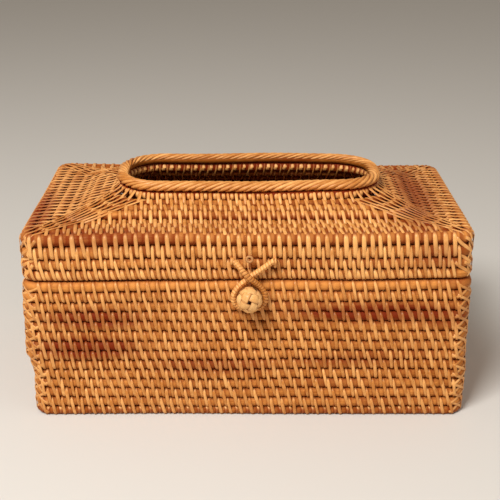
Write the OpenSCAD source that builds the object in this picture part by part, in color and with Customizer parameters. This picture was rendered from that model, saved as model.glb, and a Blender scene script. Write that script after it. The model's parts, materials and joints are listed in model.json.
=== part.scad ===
// Coiled rattan box with a hinged, stepped lid, an oval slot and a loop-and-ball closure.
// Origin: centre of the footprint, on the surface it stands on. X is the width, -Y the front.

/* [Box] */
// Width across the outer faces of the canes
box_w = 250; // [200:1:320]
// Depth across the outer faces of the canes
box_d = 145; // [125:1:190]
// Number of stacked courses in the wall of the base
base_courses = 14; // [8:1:18]
// Outer radius of the upright corners
corner_r = 8.5; // [6.5:0.5:12]

/* [Cane] */
// Thickness of the standard round cane
cane_d = 5.65; // [5:0.05:6.2]
// Thickness of the two canes that meet at the seam
seam_d = 6.4; // [5.6:0.1:7]
// Room that the sewing splints take between two canes
course_gap = 0.45; // [0.4:0.05:0.8]
// How much of the floor canes is dressed flat underneath
foot_flat = 0.5; // [0.2:0.1:1]

/* [Lid] */
// Number of courses below the shoulder, the seam cane among them
lid_low_courses = 2; // [1:1:4]
// Thickness of the second cane from the top
shoulder_d = 7.1; // [6:0.1:8]
// Thickness of the cane along the top edge
edge_d = 6.8; // [6:0.1:9]
// Gap at the seam between the lid and the base
seam_gap = 0.5; // [0.4:0.05:1]

/* [Lid top] */
// Flat courses next to the edge
outer_courses = 3; // [1:1:3]
// Raised courses next to the slot
inner_courses = 3; // [2:1:3]
// Straight canes that fill each end of the top
end_fillers = 1; // [1:1:3]
// Thickness of those filler canes
filler_d = 4.5; // [3:0.1:5]
// Climb from the edge cane to the first flat course, in degrees
edge_slope = 9; // [5:1:15]
// Climb between the flat courses, in degrees
flat_slope = 3; // [0:0.5:12]
// Climb at the step between the flat and the raised courses, in degrees
step_slope = 40.5; // [25:0.5:50]
// Climb between the raised courses, in degrees
dome_slope = 15; // [5:0.5:18]

/* [Slot] */
// Thickness of the collar cane round the slot
collar_d = 4.6; // [4:0.1:6]
// Climb from the last raised course to the collar, in degrees
collar_slope = 42; // [30:0.5:50]
// Turning radius of the collar's middle line at the slot's ends
collar_turn = 23.6; // [18:0.2:25]
// Width of the braided rim
braid_w = 8; // [7:0.1:9]
// Height of the braided rim
braid_h = 6.4; // [6:0.1:8]
// How far the rim leans in over the collar
braid_lean = 1.2; // [0:0.1:2]
// Thickness of the cane inside the braid
rim_core_d = 3.4; // [2.5:0.1:4]
// Number of strands in the braid
braid_strands = 6; // [3:1:6]
// Length along the rim in which a strand goes once round
braid_lay = 40; // [20:1:45]
// Depth of the valleys between the strands
braid_valley = 0.6; // [0.3:0.05:0.8]

/* [Closure] */
// Thickness of the wrapped loop
loop_d = 3.1; // [2:0.1:3.2]
// Radius of the round end of the loop, to its middle line
loop_r = 9.6; // [9:0.1:11]
// Distance of the loop's left end from the middle of the box
left_end_x = 7.8; // [7:0.1:12]
// Distance of the loop's right end from the middle of the box
right_end_x = 13.2; // [10:0.1:15]
// Thickness of the pin that each end of the loop turns on
loop_pin_d = 3.1; // [2.5:0.1:3.6]
// Length of each pin
loop_pin_l = 4.4; // [4.2:0.1:6]
// How far the loop's ends stand off the wall, to the middle of the pins
loop_off = 2.7; // [2.4:0.1:3.2]
// Radius of the woven ball
ball_r = 7.3; // [6:0.1:7.4]
// How far the middle of the ball stands off the wall
ball_off = 7.7; // [7.6:0.1:9]
// Course of the base, counted from the top, under which the ball is tied
ball_course = 1; // [1:1:3]
// How far the middle of the ball hangs below its tie
ball_drop = 1.2; // [0:0.1:1.5]
// How far the closure stands to the right of the middle
closure_x = 0.5; // [-5:0.5:5]
// Depth of the square windows at the ball's poles
ball_sink = 1.6; // [1:0.1:2]
// Width of those windows
ball_window = 2.4; // [2:0.1:3]
// Width of the furrows between the ball's splints
ball_furrow = 1; // [0.6:0.1:1.4]

/* [Lashings] */
// Thickness of a splint
splint_t = 0.3; // [0.2:0.05:0.3]
// Running clearance of a splint loop round a cane
splint_fit = 0.05; // [0.03:0.01:0.06]
// Width of each hinge loop
hinge_loop_w = 2.2; // [1.5:0.1:3]
// Spacing of the loops in a hinge
hinge_loop_pitch = 3.4; // [3.1:0.1:5]
// Number of loops in each hinge
hinge_loops = 4; // [2:1:6]
// Distance of each hinge from the middle of the box
hinge_x = 70; // [40:1:85]

/* [Hidden] */
cut = 1;
cane_fn = 48;
pitch = cane_d + course_gap;
cane_r = cane_d / 2;

// Places are rounded to whole hundredths, so that straight and bent stretches meet exactly
places = 100;
function fine(x) = round(x * places) / places;

base_top = base_z(base_courses) + seam_d / 2;
lid_bottom = base_top + seam_gap;
lid_courses = lid_low_courses + 2;
top_courses = outer_courses + inner_courses;
floor_count = floor((box_d / 2 - cane_r) / pitch);
floor_pitch = (box_d / 2 - cane_r) / floor_count;
floor_end = 0.5;
floor_tip = 0.75;
wall_top = lid_z(lid_courses) + edge_d / 2;

// Thickness and middle height of a base course, counted from the floor
function base_d(i) = i == base_courses ? seam_d : cane_d;
function base_z(i) = (i - 1) * pitch - foot_flat + base_d(i) / 2;

// Thickness and middle height of a lid wall course, counted from the seam
function lid_d(i) = i == 1 ? seam_d : i == lid_courses ? edge_d
    : i == lid_courses - 1 ? shoulder_d : cane_d;
function lid_z(i) = lid_bottom + lid_d(i) / 2 + (i == 1 ? 0 : seam_d + course_gap
    + min(i - 2, lid_low_courses - 1) * pitch + (i == lid_courses ? shoulder_d + course_gap : 0));

// Course i of the lid top: distance in from the wall face, height over the wall and turn
function top_slope(i) = i == 1 ? edge_slope : i <= outer_courses ? flat_slope
    : i == outer_courses + 1 ? step_slope : dome_slope;
function top_step(i) = i == 1 ? edge_d / 2 + course_gap + cane_r : pitch;
function top_in(i) = i == 0 ? edge_d / 2 : top_in(i - 1) + top_step(i) * cos(top_slope(i));
function top_up(i) = i == 0 ? -edge_d / 2 : top_up(i - 1) + top_step(i) * sin(top_slope(i));
function inner_share(i) = i / (top_courses + 1);
edge_turn = corner_r - edge_d / 2;
turn_curve = 1.5;
function top_turn(i) = edge_turn + (slot_turn - edge_turn) * pow(inner_share(i), turn_curve);

// Fillers lie on the line from the last flat course to the first raised one
filler_pitch = filler_d + course_gap;
filler_span = pitch + end_fillers * filler_pitch;
filler_rise = top_up(outer_courses + 1) - top_up(outer_courses);
filler_run = sqrt(pow(filler_span, 2) - pow(filler_rise, 2));
filler_room = filler_run - top_in(outer_courses + 1) + top_in(outer_courses);

// Collar and rim
collar_step = cane_r + course_gap + collar_d / 2;
collar_in = top_in(top_courses) + collar_step * cos(collar_slope);
collar_up = top_up(top_courses) + collar_step * sin(collar_slope);
slot_side = 0.5;
slot_turn = min(collar_turn, box_d / 2 - collar_in - slot_side);
rim_in = collar_in + braid_lean;
rim_up = collar_up + collar_d / 2 + course_gap + braid_h / 2;
rim_turn = slot_turn - braid_lean;
rim_half_w = fine(box_w / 2 - rim_in - filler_room);
rim_half_d = fine(box_d / 2 - rim_in);
core_fit = 0.15;
braid_slit = 0.4;
braid_columns = 3;
braid_ring_gap = 3.6;

// Width of a hinge loop where it crosses over between the two canes
eight_cross = 4 * splint_t;

// Closure
pivot_z = lid_z(lid_low_courses) + lid_d(lid_low_courses) / 2 + course_gap / 2;
pivot_y = -box_d / 2 - loop_off;
ball_y = -box_d / 2 - ball_off;
tie_z = base_z(base_courses - ball_course) + pitch / 2;
ball_z = tie_z - ball_drop;
ring_r = loop_pin_d / 2 + splint_fit + 2 * splint_t;
ring_w = 1.6;
loop_sides = 8;
loop_plane = 0.8;
strand_gap = 1.2;
loop_slack = 0.2;
loop_drop = norm([ball_y - pivot_y, ball_z - pivot_z]) + loop_slack;
knot_r = 2.2;
tie_w = 3;
knot_w = 2 * tie_w;
eye_r = 1.3;
eye_d = 1;
leg_in = cane_d + knot_r;

// Point and outward direction on the rounded path round the slot, from its back middle
function quarter_l(a, b, r) = a + b - 2 * r + r * PI / 2;
function quarter_at(a, b, r, t) =
    let (side = a - r, bend_l = r * PI / 2, w = 90 * (t - side) / bend_l)
    t < side ? [t, b, 0, 1]
    : t < side + bend_l ? [side + r * sin(w), b - r + r * cos(w), sin(w), cos(w)]
    : [a, b - r - (t - side - bend_l), 1, 0];
function path_at(a, b, r, t) =
    let (q = quarter_l(a, b, r), k = min(3, floor(t / q)), u = t - k * q,
        p = quarter_at(a, b, r, k % 2 == 0 ? u : q - u),
        sx = k < 2 ? 1 : -1, sy = k == 0 || k == 3 ? 1 : -1)
    [sx * p[0], sy * p[1], sx * p[2], sy * p[3]];

function two(n) = str(n < 10 ? "0" : "", n);
function name(stem, i) = str(stem, "_", two(i));

// A straight cane along X
module cane_x(length, d) {
    rotate([90, 0, 90]) cylinder(d = d, h = length, center = true, $fn = cane_fn);
}

// A straight cane along Y
module cane_y(length, d) {
    rotate([90, 0, 0]) cylinder(d = d, h = length, center = true, $fn = cane_fn);
}

// A bent cane about the local Z axis
module bend(r, angle, d) {
    rotate_extrude(angle = angle, $fn = cane_fn) translate([r, 0]) circle(d = d, $fn = cane_fn);
}

// A closed cane hoop, given by its middle line
module hoop(half_w, half_d, turn, d) {
    w = fine(half_w);
    h = fine(half_d);
    r = fine(turn);
    for (s = [-1, 1]) {
        translate([0, s * h, 0]) cane_x(2 * (w - r), d);
        translate([s * w, 0, 0]) cane_y(2 * (h - r), d);
    }
    for (k = [0:3]) {
        sx = k == 0 || k == 3 ? 1 : -1;
        sy = k < 2 ? 1 : -1;
        translate([sx * (w - r), sy * (h - r), 0]) rotate([0, 0, 90 * k]) bend(r, 90, d);
    }
}

// A tube through a list of rings, closed at both ends
module swept(rings) {
    n = len(rings);
    k = len(rings[0]);
    last = (n - 1) * k;
    sides = [for (i = [0:n - 2], j = [0:k - 1])
        let (a = i * k + j, b = i * k + (j + 1) % k) each [[a, b, b + k], [a, b + k, a + k]]];
    ends = [for (j = [1:k - 2]) each [[0, j + 1, j], [last, last + j, last + j + 1]]];
    polyhedron([for (ring = rings) each ring], concat(sides, ends));
}

// Everything below the standing surface is dressed off
module dressed_flat() {
    difference() {
        children();
        translate([0, 0, -cane_d]) cube([2 * box_w, 2 * box_d, 2 * cane_d], center = true);
    }
}

module wall_course(i) {
    d = base_d(i);
    color("#d6a062") dressed_flat() translate([0, 0, base_z(i)])
        hoop(box_w / 2 - d / 2, box_d / 2 - d / 2, corner_r - d / 2, d);
}

module floor_course(i) {
    half_w = box_w / 2 - cane_r - i * floor_pitch;
    half_d = box_d / 2 - cane_r - i * floor_pitch;
    color("#cf9858") dressed_flat() translate([0, 0, base_z(1)])
        hoop(half_w, half_d, min(corner_r - cane_r, half_d - floor_end), cane_d);
}

module floor_centre_cane() {
    length = box_w - 2 * floor_count * floor_pitch - 2 * floor_tip;
    color("#cf9858") dressed_flat() translate([0, 0, base_z(1)]) cane_x(length, cane_d);
}

module lid_wall_course(i) {
    d = lid_d(i);
    color("#d6a062") translate([0, 0, lid_z(i)])
        hoop(box_w / 2 - d / 2, box_d / 2 - d / 2, corner_r - d / 2, d);
}

module lid_top_course(i) {
    half_w = box_w / 2 - top_in(i) - (i > outer_courses ? filler_room : 0);
    color("#d6a062") translate([0, 0, wall_top + top_up(i)])
        hoop(half_w, box_d / 2 - top_in(i), top_turn(i), cane_d);
}

// Straight canes between the last flat course and the first raised one
module lid_fillers() {
    half_l = box_d / 2 - top_in(outer_courses) - top_turn(outer_courses);
    color("#d09a5c") for (k = [1:end_fillers]) {
        share = (cane_r - filler_d / 2 + k * filler_pitch) / filler_span;
        translate([box_w / 2 - top_in(outer_courses) - share * filler_run, 0,
            wall_top + top_up(outer_courses) + share * filler_rise])
            cane_y(2 * half_l, filler_d);
    }
}

module slot_collar() {
    color("#c08a50") translate([0, 0, wall_top + collar_up])
        hoop(box_w / 2 - collar_in - filler_room, box_d / 2 - collar_in, slot_turn, collar_d);
}

module rim_hoop(d) {
    translate([0, 0, wall_top + rim_up]) hoop(rim_half_w, rim_half_d, rim_turn, d);
}

module rim_core() {
    color("#d6a062") rim_hoop(rim_core_d);
}

// Strands laid round the core: each column of points follows a strand round the rim
module rim_braid() {
    round_l = 4 * quarter_l(rim_half_w, rim_half_d, rim_turn);
    ring_count = floor(round_l / braid_ring_gap);
    columns = braid_strands * braid_columns;
    laps = round(round_l / braid_lay);
    valley_share = 1 - 2 * braid_valley / braid_h;
    rings = [for (i = [0:ring_count])
        let (t = braid_slit / 2 + (round_l - braid_slit) * i / ring_count,
            p = path_at(rim_half_w, rim_half_d, rim_turn, t))
        [for (j = [0:columns - 1])
            let (w = -360 * (j / columns + laps * t / round_l),
                share = j % braid_columns == 0 ? valley_share : 1,
                out = share * braid_w / 2 * cos(w), up = share * braid_h / 2 * sin(w))
            [p[0] + p[2] * out, p[1] + p[3] * out, wall_top + rim_up + up]]];
    color("#dba766") difference() {
        swept(rings);
        rim_hoop(rim_core_d + 2 * core_fit);
    }
}

// Splints laid in a figure of eight round the lowest lid cane and the top base cane, turning on the latter
module hinge_loops(side) {
    reach = lid_z(1) - base_z(base_courses);
    bore_r = seam_d / 2 + splint_fit;
    color("#e6bf82") for (k = [0:hinge_loops - 1])
        translate([side * hinge_x + (k - (hinge_loops - 1) / 2) * hinge_loop_pitch,
            box_d / 2 - seam_d / 2, base_z(base_courses)])
            rotate([90, 0, 90]) translate([0, 0, -hinge_loop_w / 2]) linear_extrude(hinge_loop_w)
                difference() {
                    union() {
                        ring_pair(bore_r + splint_t, reach);
                        translate([-eight_cross / 2, 0]) square([eight_cross, reach]);
                    }
                    ring_pair(bore_r, reach);
                }
}

module ring_pair(r, reach) {
    circle(r, $fn = cane_fn);
    translate([0, reach]) circle(r, $fn = cane_fn);
}

// The ball that the loop hooks over: broad splints with furrows between them and open poles
module toggle_ball() {
    color("#e3b56f") translate([closure_x, ball_y, ball_z]) difference() {
        sphere(ball_r, $fn = 2 * cane_fn);
        for (turn = [[0, 0, 0], [0, 90, 0], [90, 0, 0]]) rotate(turn) {
            rotate_extrude($fn = 2 * cane_fn) translate([ball_r, 0])
                circle(d = ball_furrow, $fn = cane_fn / 2);
            for (s = [-1, 1]) translate([0, 0, s * ball_r])
                cube([ball_window, ball_window, 2 * ball_sink], center = true);
        }
        translate([0, ball_r, ball_drop])
            cube([tie_w + 2 * splint_fit, ball_r, splint_t + 2 * splint_fit], center = true);
    }
}

// The splint that ties the ball through the wall
module toggle_tie() {
    outer = ball_y + ball_r / 2 + 2 * splint_fit;
    inner = -box_d / 2 + cane_d + knot_r;
    color("#e6bf82") translate([closure_x - tie_w / 2, outer, tie_z - splint_t / 2])
        cube([tie_w, inner - outer, splint_t]);
}

// The knot behind the wall that holds the tie
module toggle_knot() {
    color("#e6bf82") translate([closure_x, -box_d / 2 + cane_d + course_gap + knot_r, tie_z]) difference() {
        cane_x(knot_w, 2 * knot_r);
        cube([tie_w + 2 * splint_fit, 3 * knot_r, splint_t + 2 * splint_fit], center = true);
    }
}

// A splint bearing for one end of the loop, tucked in between two courses
module toggle_anchor(x) {
    color("#e6bf82") translate([x, pivot_y, pivot_z]) difference() {
        union() {
            rotate([0, 90, 0]) cylinder(r = ring_r, h = ring_w, center = true, $fn = cane_fn);
            translate([-ring_w / 2, 0, -splint_t / 2]) cube([ring_w, loop_off + leg_in, splint_t]);
        }
        rotate([0, 90, 0])
            cylinder(r = loop_pin_d / 2 + splint_fit, h = ring_w + 2 * cut, center = true, $fn = cane_fn);
    }
}

// The small standing eye between the loop's ends
module toggle_eyelet() {
    y = -box_d / 2 - eye_d / 2 - splint_fit;
    color("#ead0a0") translate([closure_x, y, pivot_z]) {
        translate([0, 0, eye_r]) rotate([90, 0, 0]) rotate_extrude($fn = cane_fn) translate([eye_r, 0])
            circle(d = eye_d, $fn = cane_fn / 2);
        translate([-eye_d / 2, 0, -splint_t / 2]) cube([eye_d, leg_in, splint_t]);
    }
}

// Middle line of the loop: down from the left end, round the ball and up to the right end.
// The first strand passes in front of the second where they cross.
function bezier(p, t) = pow(1 - t, 3) * p[0] + 3 * pow(1 - t, 2) * t * p[1]
    + 3 * (1 - t) * t * t * p[2] + t * t * t * p[3];
strand_angle = 45;
round_angle = 40;
strand_pull = 5;
round_pull = 8;
strand_steps = 14;
round_steps = 26;
loop_mid = [closure_x, pivot_z - loop_drop];
function round_point(w) = loop_mid + loop_r * [cos(w), sin(w)];
function strand(end_x, side, lift) =
    let (from = [end_x, pivot_z], w = side > 0 ? round_angle : 180 - round_angle,
        to = round_point(w), p = [from, from + strand_pull * [side * cos(strand_angle), -sin(strand_angle)],
            to + round_pull * [-side * sin(round_angle), cos(round_angle)], to])
    [for (k = [0:strand_steps - 1]) let (t = k / strand_steps, c = bezier(p, t))
        [c[0], pivot_y - loop_plane * t - lift * pow(sin(180 * t), 2), c[1]]];
function reversed(list) = [for (i = [len(list) - 1:-1:0]) list[i]];
loop_line = concat(
    strand(-left_end_x, 1, loop_d + strand_gap),
    [for (k = [0:round_steps]) let (w = round_angle - k * (180 + 2 * round_angle) / round_steps,
        c = round_point(w)) [c[0], pivot_y - loop_plane, c[1]]],
    reversed(strand(right_end_x, -1, 0)));
function unit(v) = v / norm(v);
function loop_ring(i) =
    let (last = len(loop_line) - 1, along = unit(loop_line[min(i + 1, last)] - loop_line[max(i - 1, 0)]),
        side = unit(cross(along, [0, 1, 0])), up = cross(side, along))
    [for (j = [0:loop_sides - 1]) let (w = 360 * j / loop_sides)
        loop_line[i] + loop_d / 2 * (side * cos(w) + up * sin(w))];

module toggle_loop() {
    color("#dba766") {
        swept([for (i = [0:len(loop_line) - 1]) loop_ring(i)]);
        for (end = [[-left_end_x, -1], [right_end_x, 1]])
            translate([end[0] + end[1] * (loop_pin_l / 2 - loop_pin_d / 2), pivot_y, pivot_z])
                cane_x(loop_pin_l, loop_pin_d);
    }
}

anchor_out = loop_pin_l - loop_pin_d / 2 - ring_w / 2 - splint_t;

for (i = [1:base_courses]) wall_course(i);
for (i = [1:floor_count - 1]) floor_course(i);
floor_centre_cane();
toggle_ball();
toggle_tie();
toggle_knot();
for (i = [1:lid_courses]) lid_wall_course(i);
for (i = [1:top_courses]) lid_top_course(i);
mirror([1, 0, 0]) lid_fillers();  // lid_fillers_left
lid_fillers();  // lid_fillers_right
slot_collar();
rim_core();
rim_braid();
hinge_loops(-1);  // hinge_loops_left
hinge_loops(1);  // hinge_loops_right
toggle_anchor(-left_end_x - anchor_out);  // toggle_anchor_left
toggle_anchor(right_end_x + anchor_out);  // toggle_anchor_right
toggle_eyelet();
toggle_loop();
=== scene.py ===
import json
from math import cos, hypot, pi, radians, sin, sqrt

import bpy
import numpy as np
from mathutils import Euler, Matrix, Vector


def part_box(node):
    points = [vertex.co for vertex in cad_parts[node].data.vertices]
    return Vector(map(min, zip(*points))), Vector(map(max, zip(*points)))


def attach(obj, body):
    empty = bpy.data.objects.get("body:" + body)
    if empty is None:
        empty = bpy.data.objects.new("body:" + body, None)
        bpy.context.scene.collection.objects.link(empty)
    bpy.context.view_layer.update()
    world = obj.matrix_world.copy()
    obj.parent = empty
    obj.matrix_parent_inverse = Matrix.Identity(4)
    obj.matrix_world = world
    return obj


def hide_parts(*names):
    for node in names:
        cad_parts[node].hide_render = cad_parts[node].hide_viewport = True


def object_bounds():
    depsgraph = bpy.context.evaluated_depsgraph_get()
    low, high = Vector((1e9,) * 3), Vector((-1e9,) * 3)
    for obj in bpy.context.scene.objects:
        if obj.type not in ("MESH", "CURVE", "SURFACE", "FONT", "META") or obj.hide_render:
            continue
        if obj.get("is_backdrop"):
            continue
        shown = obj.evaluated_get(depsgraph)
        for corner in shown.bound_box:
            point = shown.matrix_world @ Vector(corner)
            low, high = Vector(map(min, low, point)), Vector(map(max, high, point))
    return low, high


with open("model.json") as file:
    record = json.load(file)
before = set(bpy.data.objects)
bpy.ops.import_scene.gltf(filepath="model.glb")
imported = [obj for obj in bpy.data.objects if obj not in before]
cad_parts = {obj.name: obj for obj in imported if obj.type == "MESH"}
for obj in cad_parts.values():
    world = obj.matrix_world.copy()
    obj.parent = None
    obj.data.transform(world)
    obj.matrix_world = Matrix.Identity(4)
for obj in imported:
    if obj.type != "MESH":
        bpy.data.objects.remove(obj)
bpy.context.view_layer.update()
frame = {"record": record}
mm = 0.001
up = np.array([0.0, 0.0, 1.0])
print("frame loaded")


# What a user would change about the hand-made look of the whole box
handMade = {
    "seed": 5,
    "waver": 0.28 * mm,           # how far the courses stray
    "swell": 0.045,               # how much a cane's thickness varies along it
    "twist": 0.7 * mm,            # the front's right end and the back's left end stand higher
    "pushHeights": [0, 28, 33, 39, 46, 58, 70, 80, 86, 92, 140],  # mm above the ground
    "pushLeft": [1.2, 1.3, 2.6, 4.3, 4.3, 4.1, 4.4, 4.6, 3.9, 3.3, 3.1],  # mm that the left end stands out
    "pushRight": [1.8, 1.8, 1.8, 1.8, 1.8, 1.8, 1.8, 1.8, 1.7, 1.5, 1.5],
}
rng = np.random.default_rng(handMade["seed"])


def pick(piece):
    bpy.ops.object.select_all(action="DESELECT")
    piece.select_set(True)
    bpy.context.view_layer.objects.active = piece


def editMode(on):
    bpy.ops.object.mode_set(mode="EDIT" if on else "OBJECT")


def finishWith(piece, kind, **settings):
    pick(piece)
    step = piece.modifiers.new(kind.lower(), kind)
    for key, value in settings.items():
        setattr(step, key, value)
    bpy.ops.object.modifier_apply(modifier=step.name)


def readPoints(piece):
    flat = np.zeros(len(piece.data.vertices) * 3)
    piece.data.vertices.foreach_get("co", flat)
    return flat.reshape(-1, 3)


def writePoints(piece, points):
    piece.data.vertices.foreach_set("co", np.asarray(points, np.float32).ravel())
    piece.data.update()


def writeLooks(piece, **layers):
    for name, values in layers.items():
        kind, key = ("FLOAT_VECTOR", "vector") if name == "grain" else ("FLOAT", "value")
        layer = piece.data.attributes.new(name, kind, "POINT")
        layer.data.foreach_set(key, np.asarray(values, np.float32).ravel())


def unit(v):
    return v / np.maximum(np.linalg.norm(v, axis=-1, keepdims=True), 1e-12)


def smooth(x):
    x = np.clip(x, 0, 1)
    return x * x * (3 - 2 * x)


# How far along a line each of its points is
def lengthsAlong(line):
    return np.concatenate([[0], np.cumsum(np.linalg.norm(np.diff(line, axis=0), axis=1))])


def pointsAt(s, along, line):
    return np.stack([np.interp(s, along, line[:, k]) for k in range(line.shape[1])], -1)


def randomTones(middle, spread, count):
    return np.clip(middle + rng.normal(0, spread, count), 0, 1)


# The box was pulled tight by hand: courses waver, and its left end stands out half-way down
def settle(points):
    p = np.array(points, float)
    x, y, z = p[..., 0] / mm, p[..., 1] / mm, p[..., 2] / mm
    w = handMade["waver"]
    moved = p.copy()
    moved[..., 0] += w * (np.sin(z / 9.1 + y / 31 + 1.3) + 0.6 * np.sin(z / 4.3 - y / 47 + 0.4))
    moved[..., 1] += w * (np.sin(z / 8.3 + x / 37 + 2.1) + 0.7 * np.sin(x / 21 - z / 5.7 + 4.0))
    moved[..., 2] += w * smooth(z / 12) * (np.sin(x / 27 + y / 35 + z / 23 + 0.7)
                                           + 0.6 * np.sin(x / 13 - y / 17 + 2.2))
    moved[..., 2] -= handMade["twist"] * (x / 125) * (y / 72.5) * smooth(z / 85)
    for way, push in ((-1, handMade["pushLeft"]), (1, handMade["pushRight"])):
        moved[..., 0] += way * mm * np.interp(z, handMade["pushHeights"], push) * smooth((way * x - 70) / 50)
    return moved


# Brown stains of the cane skin, where the photographed box has them, and one patch of painted shade: place and
# reach in mm, strength
stainsAndShade = [
    # front of the base
    ((75, -72, 66), (52, 6, 6), 1.3), ((112, -72, 64), (18, 20, 7), 0.8), ((-88, -72, 62), (32, 6, 7), 1.1),
    ((-92, -72, 44), (30, 6, 8), 1.3), ((-20, -72, 33), (36, 6, 6), 0.8), ((55, -72, 36), (32, 6, 4), 0.7),
    # front edge, sides and step of the lid; the broad patch on the lid's right side (x 97) is painted shade,
    # for the light falling from the left
    ((-80, -69, 110), (48, 12, 6), 0.8), ((106, -72, 101), (14, 14, 8), 0.75),
    ((-122, -30, 111), (6, 42, 9), 1.3), ((97, 0, 113), (17, 66, 9), 1.6), ((-106, 0, 113), (20, 62, 9), 0.25),
    ((-104, -52, 111), (13, 12, 6), 0.75), ((88, 0, 114), (5, 50, 6), 0.75), ((84, -48, 112), (12, 9, 8), 0.5),
    ((-30, -60, 112), (60, 5, 4), 0.35), ((20, -48, 115), (60, 6, 4), 0.3),
    # sides and back, which aren't seen there
    ((126, 10, 60), (7, 40, 12), 0.6), ((-127, 20, 40), (7, 35, 14), 0.6), ((-60, 72, 60), (50, 6, 9), 0.8),
    ((70, 72, 30), (40, 6, 8), 0.6), ((30, 72, 97), (45, 6, 6), 0.5),
]


def stainAndShadeAt(points):
    p = np.asarray(points, float) / mm
    total = np.zeros(p.shape[:-1])
    for place, reach, strength in stainsAndShade:
        near = (((p - np.array(place)) / np.array(reach)) ** 2).sum(-1)
        total = np.maximum(total, strength * np.exp(-near * near))
    return total


# A hoop's line, counter-clockwise from the middle of its front, as a table of even short steps
def makeRail(halfW, halfD, turn, z, radius, bow=0.0, seed=0):
    plan = [(0, -halfD)]
    for sx, sy, start in ((1, -1, -90), (1, 1, 0), (-1, 1, 90), (-1, -1, 180)):
        for angle in np.radians(start + np.linspace(0, 90, 15)):
            plan.append((sx * (halfW - turn) + turn * cos(angle), sy * (halfD - turn) + turn * sin(angle)))
    plan = np.array(plan + plan[:1])
    plan[:, 1] *= 1 + bow / halfD * (1 - (plan[:, 0] / halfW) ** 2)
    along = lengthsAlong(plan)
    s = np.linspace(0, along[-1], int(along[-1] / (0.7 * mm)) + 1)
    line = settle(np.column_stack([pointsAt(s, along, plan), np.full(len(s), z)]))
    line[-1] = line[0]
    tangent = np.gradient(line, axis=0)
    tangent[0] = tangent[-1] = line[1] - line[-2]
    out = unit(np.cross(tangent, up))
    return {"s": s, "line": line, "out": out, "rise": np.cross(out, unit(tangent)), "length": along[-1],
            "radius": radius, "halfW": halfW, "halfD": halfD, "turn": turn, "z": z, "seed": seed,
            "closed": True, "pins": []}


# A rail with two ends, through given points; out is the side that is seen
def openRail(line, out, radius, seed=0):
    tangent = unit(np.gradient(line, axis=0))
    out = unit(out - tangent * (out * tangent).sum(-1, keepdims=True))
    s = lengthsAlong(line)
    return {"s": s, "line": line, "out": out, "rise": np.cross(out, tangent), "length": s[-1],
            "radius": radius, "seed": seed, "closed": False, "pins": []}


def railAt(rail, s, what="line"):
    wrapped = np.mod(s, rail["length"]) if rail["closed"] else np.clip(s, 0, rail["length"])
    return pointsAt(wrapped, rail["s"], rail[what])


def frameAt(rail, s):
    return [railAt(rail, s, what) for what in ("line", "out", "rise")]


# The rail half-way between two hoops
def meanRail(a, b):
    return makeRail(*[(a[k] + b[k]) / 2 for k in ("halfW", "halfD", "turn", "z")], a["radius"])


# The point of a rail that lies straight out from, or in from, each given place
def meet(rail, places, outs):
    offset = rail["line"][None, :, :2] - places[:, None, :2]
    across = np.abs(offset[..., 0] * outs[:, None, 1] - offset[..., 1] * outs[:, None, 0])
    nearness = 0.15 * np.linalg.norm(offset, axis=-1)  # so that the far side of the hoop isn't taken
    return rail["s"][np.argmin(across + nearness, axis=1)]


cane = {
    "sides": 12, "step": 1.15 * mm, "floorStep": 2.4 * mm, "fineStep": 0.4 * mm,
    "feet": 0.34 * mm,                          # room for the splints under the lowest canes
    "pinch": 0.2 * mm, "pinchReach": 1.6 * mm,    # how far a splint presses in, and over what length
    "besideSplint": 1.0, "grooveFrom": 0.8,       # painted shade beside the splints and in the grooves
    "cornerSpread": 0.3,                          # hoops that lie flat are broader where they turn
    "swellWaves": ((3, 0.5), (7, 0.6), (17, 0.45), (31, 0.35)),  # waves round a hoop and their shares
    "patches": 6, "patchReach": (8, 40), "patchStrength": (0.1, 0.6), "grainWidth": 2.8,
}


# How near each place along a rail is to a splint that crosses it: 1 under a splint, 0 away from it
def pinchAt(rail, s):
    if not len(rail["pins"]):
        return np.zeros(len(s))
    length = rail["length"]
    pins = np.sort(np.mod(rail["pins"], length))
    pins = np.concatenate([[pins[-1] - length], pins, [pins[0] + length]])
    here = np.mod(s, length)
    after = np.searchsorted(pins, here).clip(1, len(pins) - 1)
    near = np.minimum(np.abs(here - pins[after - 1]), np.abs(pins[after] - here))
    return np.exp(-(near / cane["pinchReach"]) ** 2)


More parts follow.
